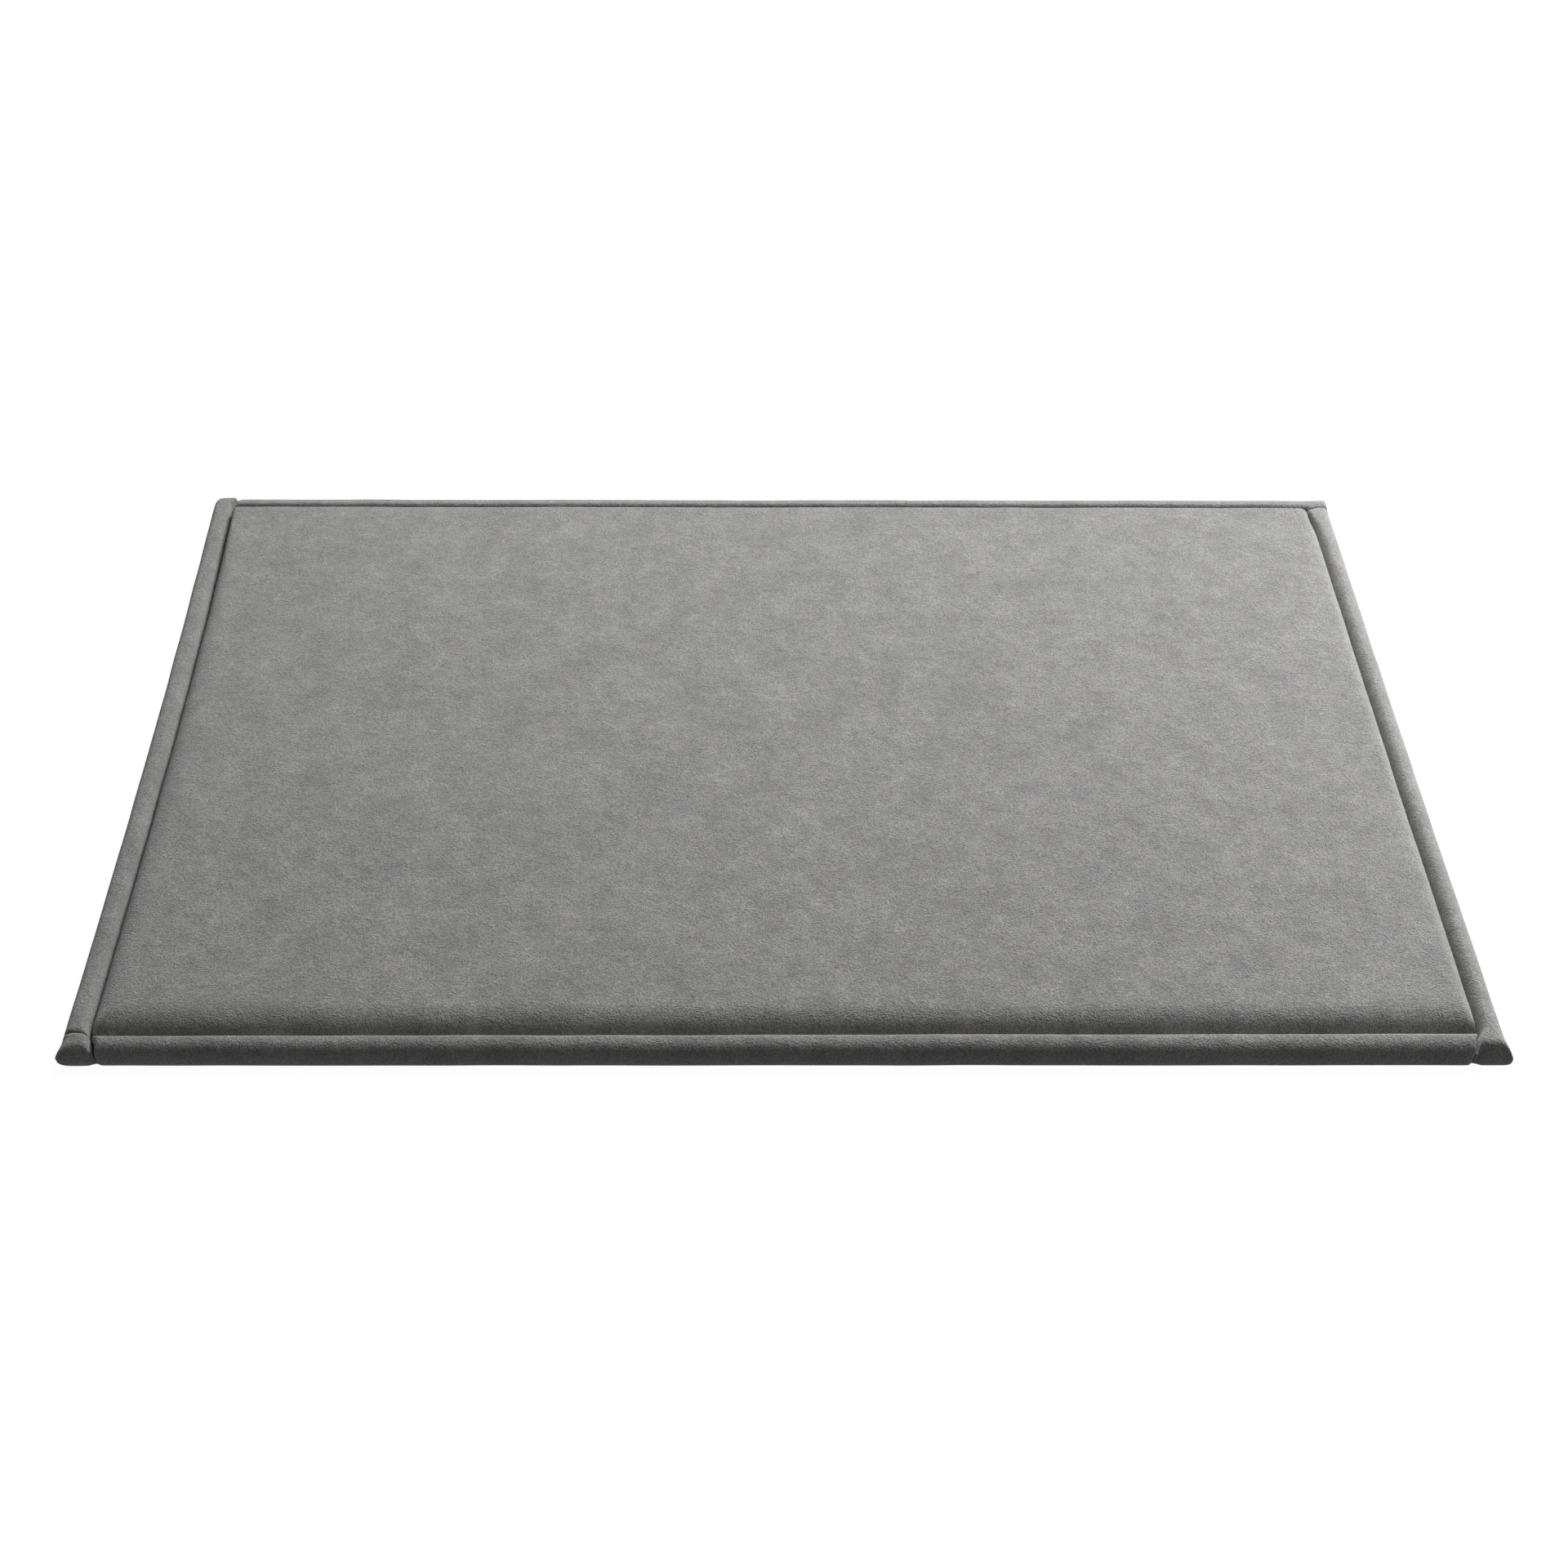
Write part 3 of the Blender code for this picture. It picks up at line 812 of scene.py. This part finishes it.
class Surface:
    """A Principled material, with short calls for the nodes that feed it."""

    def __init__(self, name, roughness, **constants):
        self.material = bpy.data.materials.new(name)
        self.material.use_nodes = True
        self.tree = self.material.node_tree
        self.shader = self.tree.nodes["Principled BSDF"]
        self.shader.inputs["Roughness"].default_value = roughness
        for socket, value in constants.items():
            self.shader.inputs[socket.replace("_", " ")].default_value = value
        self.place = self.node("ShaderNodeTexCoord").outputs["Object"]

    def node(self, kind, **settings):
        made = self.tree.nodes.new(kind)
        for key, value in settings.items():
            setattr(made, key, value)
        return made

    def feed(self, socket, value):
        if isinstance(value, bpy.types.NodeSocket):
            self.tree.links.new(value, socket)
        else:
            socket.default_value = value

    def math(self, operation, a, b=0.0):
        """A maths node's result, from values or other nodes' outputs."""
        made = self.node("ShaderNodeMath", operation=operation)
        self.feed(made.inputs[0], a)
        self.feed(made.inputs[1], b)
        return made.outputs[0]

    def noise(self, size, detail=2.0, roughness=0.5, warp=0.0):
        """Smooth noise of about 0 to 1 whose features are the given size, in metres."""
        made = self.node("ShaderNodeTexNoise")
        self.feed(made.inputs["Vector"], self.place)
        made.inputs["Scale"].default_value = 1 / size
        made.inputs["Detail"].default_value = detail
        made.inputs["Roughness"].default_value = roughness
        made.inputs["Distortion"].default_value = warp
        return made.outputs["Fac"]

    def swing(self, fac, amount):
        """Turns a 0 to 1 value into a factor of 1, more or less the amount."""
        return self.math("ADD", self.math("MULTIPLY", fac, 2 * amount), 1 - amount)

    def halved(self, wave):
        """Turns a wave of -1 to 1 into 0 to 1."""
        return self.math("ADD", self.math("MULTIPLY", wave, 0.5), 0.5)

    def colour(self, base, *factors):
        """The base colour times each of the factors."""
        total = factors[0]
        for factor in factors[1:]:
            total = self.math("MULTIPLY", total, factor)
        scaled = self.node("ShaderNodeVectorMath", operation="SCALE")
        scaled.inputs[0].default_value = base
        self.feed(scaled.inputs["Scale"], total)
        self.feed(self.shader.inputs["Base Color"], scaled.outputs[0])

    def bump(self, height, depth):
        made = self.node("ShaderNodeBump")
        made.inputs["Distance"].default_value = depth
        self.feed(made.inputs["Height"], height)
        self.feed(self.shader.inputs["Normal"], made.outputs[0])

    def waves(self, pitch, angle=0.0):
        """Parallel ridges, from -1 to 1, at the given pitch and angle in plan."""
        split = self.node("ShaderNodeSeparateXYZ")
        self.feed(split.inputs[0], self.place)
        along = self.math("MULTIPLY", split.outputs[0], 2 * math.pi * math.cos(angle) / pitch)
        across = self.math("MULTIPLY", split.outputs[1], 2 * math.pi * math.sin(angle) / pitch)
        return self.math("SINE", self.math("ADD", along, across))


def velvet():
    """Short dense pile: worm-like grain where the pile parts, on soft patches of raised and pressed nap."""
    surface = Surface("velvet", VELVET_ROUGHNESS, Sheen_Weight=SHEEN, Sheen_Roughness=SHEEN_ROUGHNESS)
    surface.shader.inputs["Specular IOR Level"].default_value = VELVET_SPECULAR
    blotches = surface.noise(BLOTCH_SIZE, detail=2.0, roughness=0.6)
    patches = surface.noise(PATCH_SIZE, detail=1.0)
    swirl = surface.noise(SWIRL_SIZE, detail=2.0, roughness=0.6)
    phase = surface.math("MULTIPLY", swirl, 2 * math.pi * WORMS_PER_SWIRL)
    worms = surface.math("MULTIPLY", surface.halved(surface.math("SINE", phase)), WORM_SHARE)
    fibres = surface.noise(FIBRE_SIZE, detail=1.0, roughness=0.6, warp=0.8)
    grain = surface.math("ADD", worms, surface.math("MULTIPLY", fibres, FIBRE_SHARE))
    surface.colour(
        VELVET_COLOUR,
        surface.swing(blotches, BLOTCH_SWING),
        surface.swing(patches, PATCH_SWING),
        surface.swing(grain, GRAIN_SWING),
    )
    surface.bump(surface.math("ADD", grain, surface.math("MULTIPLY", patches, PATCH_RISE)), PILE_DEPTH)
    return surface.material


def open_cell_foam():
    surface = Surface("open_cell_foam", roughness=0.9)
    cells = surface.node("ShaderNodeTexVoronoi")
    surface.feed(cells.inputs["Vector"], surface.place)
    cells.inputs["Scale"].default_value = 1 / CELL_SIZE
    depth = cells.outputs["Distance"]
    stains = surface.noise(size=0.03)
    surface.colour(FOAM_COLOUR, surface.swing(depth, amount=0.15), surface.swing(stains, amount=0.05))
    surface.bump(depth, CELL_DEPTH)
    return surface.material


def woven(name, colour, pitch, roughness):
    """Plain weave: two sets of threads that pass over and under each other."""
    surface = Surface(name, roughness)
    along, across = surface.waves(pitch), surface.waves(pitch, 0.5 * math.pi)
    weave = surface.halved(surface.math("MULTIPLY", along, across))
    wear = surface.noise(size=0.006, detail=3.0)
    surface.colour(colour, surface.swing(weave, amount=0.18), surface.swing(wear, amount=0.10))
    surface.bump(weave, WEAVE_DEPTH)
    return surface.material


def grip_rubber():
    surface = Surface("grip_rubber", GRIP_ROUGHNESS)
    surface.colour(GRIP_COLOUR, surface.swing(surface.noise(size=0.02, detail=3.0), amount=0.15))
    surface.bump(surface.noise(size=0.0006, detail=2.0), FINE_DEPTH)
    return surface.material


def sewing_thread():
    surface = Surface("sewing_thread", THREAD_ROUGHNESS)
    twist = surface.halved(surface.waves(TWIST_PITCH, 0.25 * math.pi))
    surface.colour(THREAD_COLOUR, surface.swing(twist, amount=0.25))
    surface.bump(twist, FINE_DEPTH)
    return surface.material


# ---------------------------------------------------------------- studio

WHITE = (1, 1, 1, 1)
FLOOR_COLOUR = (0.15, 0.15, 0.15, 1.0)
FLOOR_ROUGHNESS = 0.9
FLOOR_GLOW = 0.965
FLOOR_HALF = 6
SKY_ABOVE, SKY_BELOW = 0.12, 0.11
SKY_BLEND = 0.1
KEY_PLACE = (0.60, 1.08, 1.27)
KEY_SIZE = (0.85, 0.85)
KEY_POWER = 35.5
SIDE_PLACE = (0.80, 0.0, 0.12)
SIDE_SIZE = (0.60, 0.10)
SIDE_POWER = 1.3

CAMERA_PLACE = (-0.0360, -0.9864, 0.9815)
CAMERA_PITCH = 45.73
CAMERA_LENS = 46.37
CAMERA_SHIFT = 0.0386


def pale_floor():
    """A white floor that glows like a light table, so that the mat's own shadow on it stays faint.

    It gives the mat no diffuse light and casts no shadow: the sky below stands in for what it would give.
    """
    corners = [(i * FLOOR_HALF, j * FLOOR_HALF, 0) for i, j in ((-1, -1), (1, -1), (1, 1), (-1, 1))]
    data = bpy.data.meshes.new("floor")
    data.from_pydata(corners, [], [(0, 1, 2, 3)])
    floor = bpy.data.objects.new("floor", data)
    paint = bpy.data.materials.new("floor_paint")
    paint.use_nodes = True
    shader = paint.node_tree.nodes["Principled BSDF"]
    shader.inputs["Base Color"].default_value = FLOOR_COLOUR
    shader.inputs["Roughness"].default_value = FLOOR_ROUGHNESS
    shader.inputs["Emission Color"].default_value = WHITE
    shader.inputs["Emission Strength"].default_value = FLOOR_GLOW
    data.materials.append(paint)
    bpy.context.scene.collection.objects.link(floor)
    floor.visible_diffuse = False
    floor.visible_shadow = False


def sky():
    """White where it is seen. It lights the mat dimly from above, and from below as the floor would."""
    world = bpy.data.worlds.new("studio")
    world.use_nodes = True
    tree = world.node_tree
    place = tree.nodes.new("ShaderNodeTexCoord")
    split = tree.nodes.new("ShaderNodeSeparateXYZ")
    shade = tree.nodes.new("ShaderNodeMapRange")
    shade.inputs["From Min"].default_value = -SKY_BLEND
    shade.inputs["From Max"].default_value = SKY_BLEND
    shade.inputs["To Min"].default_value = SKY_BELOW
    shade.inputs["To Max"].default_value = SKY_ABOVE
    seen = tree.nodes.new("ShaderNodeLightPath")
    strength = tree.nodes.new("ShaderNodeMath")
    strength.operation = "MAXIMUM"
    tree.links.new(place.outputs["Generated"], split.inputs[0])
    tree.links.new(split.outputs["Z"], shade.inputs["Value"])
    tree.links.new(shade.outputs["Result"], strength.inputs[0])
    tree.links.new(seen.outputs["Is Camera Ray"], strength.inputs[1])
    tree.links.new(strength.outputs[0], tree.nodes["Background"].inputs["Strength"])
    tree.nodes["Background"].inputs["Color"].default_value = WHITE
    bpy.context.scene.world = world


def soft_lamp(name, place, aim, size, power):
    """A rectangular lamp that lights the mat but isn't seen itself."""
    data = bpy.data.lights.new(name, "AREA")
    data.shape = "RECTANGLE"
    data.size, data.size_y = size
    data.energy = power
    lamp = bpy.data.objects.new(name, data)
    lamp.location = place
    lamp.rotation_euler = (Vector(aim) - Vector(place)).to_track_quat("-Z", "Y").to_euler()
    lamp.visible_camera = False
    bpy.context.scene.collection.objects.link(lamp)


def studio():
    """The floor, the sky, a soft lamp over the back right corner and a small one beside the right edge."""
    pale_floor()
    sky()
    soft_lamp("key", KEY_PLACE, (0, 0, 0), KEY_SIZE, KEY_POWER)
    soft_lamp("side", SIDE_PLACE, (RIGHT_SEAM, 0, 0), SIDE_SIZE, SIDE_POWER)
    bpy.context.scene.view_settings.view_transform = "Standard"


def camera():
    """Looks down on the mat from beyond its front edge."""
    data = bpy.data.cameras.new("camera")
    data.lens = CAMERA_LENS
    data.shift_x = CAMERA_SHIFT
    made = bpy.data.objects.new("camera", data)
    made.location = CAMERA_PLACE
    made.rotation_euler = (math.radians(90 - CAMERA_PITCH), 0, 0)
    bpy.context.scene.collection.objects.link(made)
    bpy.context.scene.camera = made


# ---------------------------------------------------------------- the mat


def build():
    foam_material, thread_material = open_cell_foam(), sewing_thread()
    velvet_cover(velvet())
    for name, pad in PADS.items():
        foam(name, pad, foam_material)
    backing_cloth(woven("backing_weave", BACKING_COLOUR, BACKING_PITCH, BACKING_ROUGHNESS))
    grip_layer(grip_rubber())
    care_label(woven("label_ribbon", LABEL_COLOUR, LABEL_PITCH, LABEL_ROUGHNESS))
    for side in ("left", "front", "back", "right"):
        seam_thread(f"{side}_seam_needle_thread", NEEDLE_RADIUS, thread_material)
        seam_thread(f"{side}_seam_bobbin_thread", BOBBIN_RADIUS, thread_material)
    hem_thread(thread_material)
    studio()
    camera()


build()
